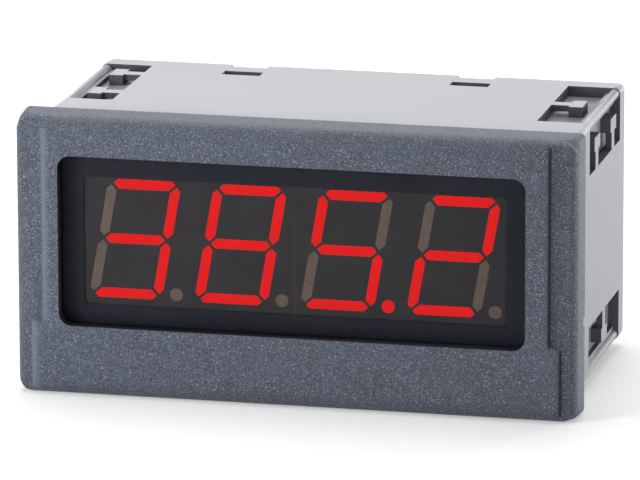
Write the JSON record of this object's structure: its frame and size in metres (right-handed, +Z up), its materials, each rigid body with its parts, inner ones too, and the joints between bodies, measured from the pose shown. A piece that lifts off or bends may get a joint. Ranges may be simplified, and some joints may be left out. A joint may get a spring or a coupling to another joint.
{
  "type": "digital panel meter",
  "caption": "Flush-mounted panel meter with a framed tinted window, a seven-segment red display, a clip-together housing and pull-off screw terminal plugs.",
  "frame": {"origin": "on the meter's axis, in the plane where the bezel's rim meets the panel", "axes": "+X to the viewer's right, +Y into the panel, +Z up"},
  "size_m": [0.096, 0.0639, 0.048],
  "materials": {
    "bezel": "fine spark-eroded texture, slate grey",
    "housing": "smooth satin, light grey",
    "cover": "satin, slate grey",
    "window": "polished, smoke tinted",
    "film": "black print",
    "display": "dark grey face",
    "lit": "glowing red",
    "unlit": "milky, unlit",
    "board": "green solder resist",
    "pins": "tinned",
    "chips": "black moulding",
    "transformer": "potted, dark",
    "capacitors": "sleeved can",
    "can": "drawn metal can",
    "varistor": "dipped, blue",
    "resistors": "lacquered",
    "terminals": "moulded, green",
    "screws": "zinc plated",
    "contacts": "tinned brass"
  },
  "bodies": {
    "case": {"housing": "housing", "front_bezel": "bezel", "window": "window", "masking_film": "film", "left_display": "display", "right_display": "display", "lit_segments": "lit", "unlit_segments": "unlit", "display_pins": "pins", "display_board": "board", "main_board": "board", "link_header": "chips", "link_pins": "pins", "microcontroller": "chips", "converter_chip": "chips", "driver_chip": "chips", "transformer": "transformer", "smoothing_capacitors": "capacitors", "voltage_regulator": "chips", "clock_crystal": "can", "varistor": "varistor", "input_resistors": "resistors", "input_socket": "terminals", "input_pins": "pins", "supply_socket": "terminals", "supply_pins": "pins", "rear_cover": "cover"},
    "input_plug": {"input_plug": "terminals", "input_contacts": "contacts"},
    "input_screw_1": {"input_screw_1": "screws"},
    "input_clamp_1": {"input_clamp_1": "screws"},
    "input_screw_2": {"input_screw_2": "screws"},
    "input_clamp_2": {"input_clamp_2": "screws"},
    "input_screw_3": {"input_screw_3": "screws"},
    "input_clamp_3": {"input_clamp_3": "screws"},
    "input_screw_4": {"input_screw_4": "screws"},
    "input_clamp_4": {"input_clamp_4": "screws"},
    "supply_plug": {"supply_plug": "terminals", "supply_contacts": "contacts"},
    "supply_screw_1": {"supply_screw_1": "screws"},
    "supply_clamp_1": {"supply_clamp_1": "screws"},
    "supply_screw_2": {"supply_screw_2": "screws"},
    "supply_clamp_2": {"supply_clamp_2": "screws"}
  },
  "joints": [
    {"name": "input_plug_pull", "type": "slide", "parent": "case", "child": "input_plug", "axis": [0, 1, 0], "range_m": [0, 0.0095]},
    {"name": "input_screw_1_turn", "type": "hinge", "parent": "input_plug", "child": "input_screw_1", "pos_m": [-0.03477, 0.0511, -0.008], "axis": [0, 0, -1], "range_deg": [0, 1800]},
    {"name": "input_clamp_1_rise", "type": "slide", "parent": "input_plug", "child": "input_clamp_1", "axis": [0, 0, 1], "range_m": [0, 0.0025]},
    {"name": "input_screw_2_turn", "type": "hinge", "parent": "input_plug", "child": "input_screw_2", "pos_m": [-0.02969, 0.0511, -0.008], "axis": [0, 0, -1], "range_deg": [0, 1800]},
    {"name": "input_clamp_2_rise", "type": "slide", "parent": "input_plug", "child": "input_clamp_2", "axis": [0, 0, 1], "range_m": [0, 0.0025]},
    {"name": "input_screw_3_turn", "type": "hinge", "parent": "input_plug", "child": "input_screw_3", "pos_m": [-0.02461, 0.0511, -0.008], "axis": [0, 0, -1], "range_deg": [0, 1800]},
    {"name": "input_clamp_3_rise", "type": "slide", "parent": "input_plug", "child": "input_clamp_3", "axis": [0, 0, 1], "range_m": [0, 0.0025]},
    {"name": "input_screw_4_turn", "type": "hinge", "parent": "input_plug", "child": "input_screw_4", "pos_m": [-0.01953, 0.0511, -0.008], "axis": [0, 0, -1], "range_deg": [0, 1800]},
    {"name": "input_clamp_4_rise", "type": "slide", "parent": "input_plug", "child": "input_clamp_4", "axis": [0, 0, 1], "range_m": [0, 0.0025]},
    {"name": "supply_plug_pull", "type": "slide", "parent": "case", "child": "supply_plug", "axis": [0, 1, 0], "range_m": [0, 0.0095]},
    {"name": "supply_screw_1_turn", "type": "hinge", "parent": "supply_plug", "child": "supply_screw_1", "pos_m": [0.02969, 0.0511, -0.008], "axis": [0, 0, -1], "range_deg": [0, 1800]},
    {"name": "supply_clamp_1_rise", "type": "slide", "parent": "supply_plug", "child": "supply_clamp_1", "axis": [0, 0, 1], "range_m": [0, 0.0025]},
    {"name": "supply_screw_2_turn", "type": "hinge", "parent": "supply_plug", "child": "supply_screw_2", "pos_m": [0.03477, 0.0511, -0.008], "axis": [0, 0, -1], "range_deg": [0, 1800]},
    {"name": "supply_clamp_2_rise", "type": "slide", "parent": "supply_plug", "child": "supply_clamp_2", "axis": [0, 0, 1], "range_m": [0, 0.0025]}
  ],
  "couplings": [
    {"joint": "input_screw_1_turn", "follows": "input_clamp_1_rise", "rad_per_m": 12560},
    {"joint": "input_screw_2_turn", "follows": "input_clamp_2_rise", "rad_per_m": 12560},
    {"joint": "input_screw_3_turn", "follows": "input_clamp_3_rise", "rad_per_m": 12560},
    {"joint": "input_screw_4_turn", "follows": "input_clamp_4_rise", "rad_per_m": 12560},
    {"joint": "supply_screw_1_turn", "follows": "supply_clamp_1_rise", "rad_per_m": 12560},
    {"joint": "supply_screw_2_turn", "follows": "supply_clamp_2_rise", "rad_per_m": 12560}
  ]
}
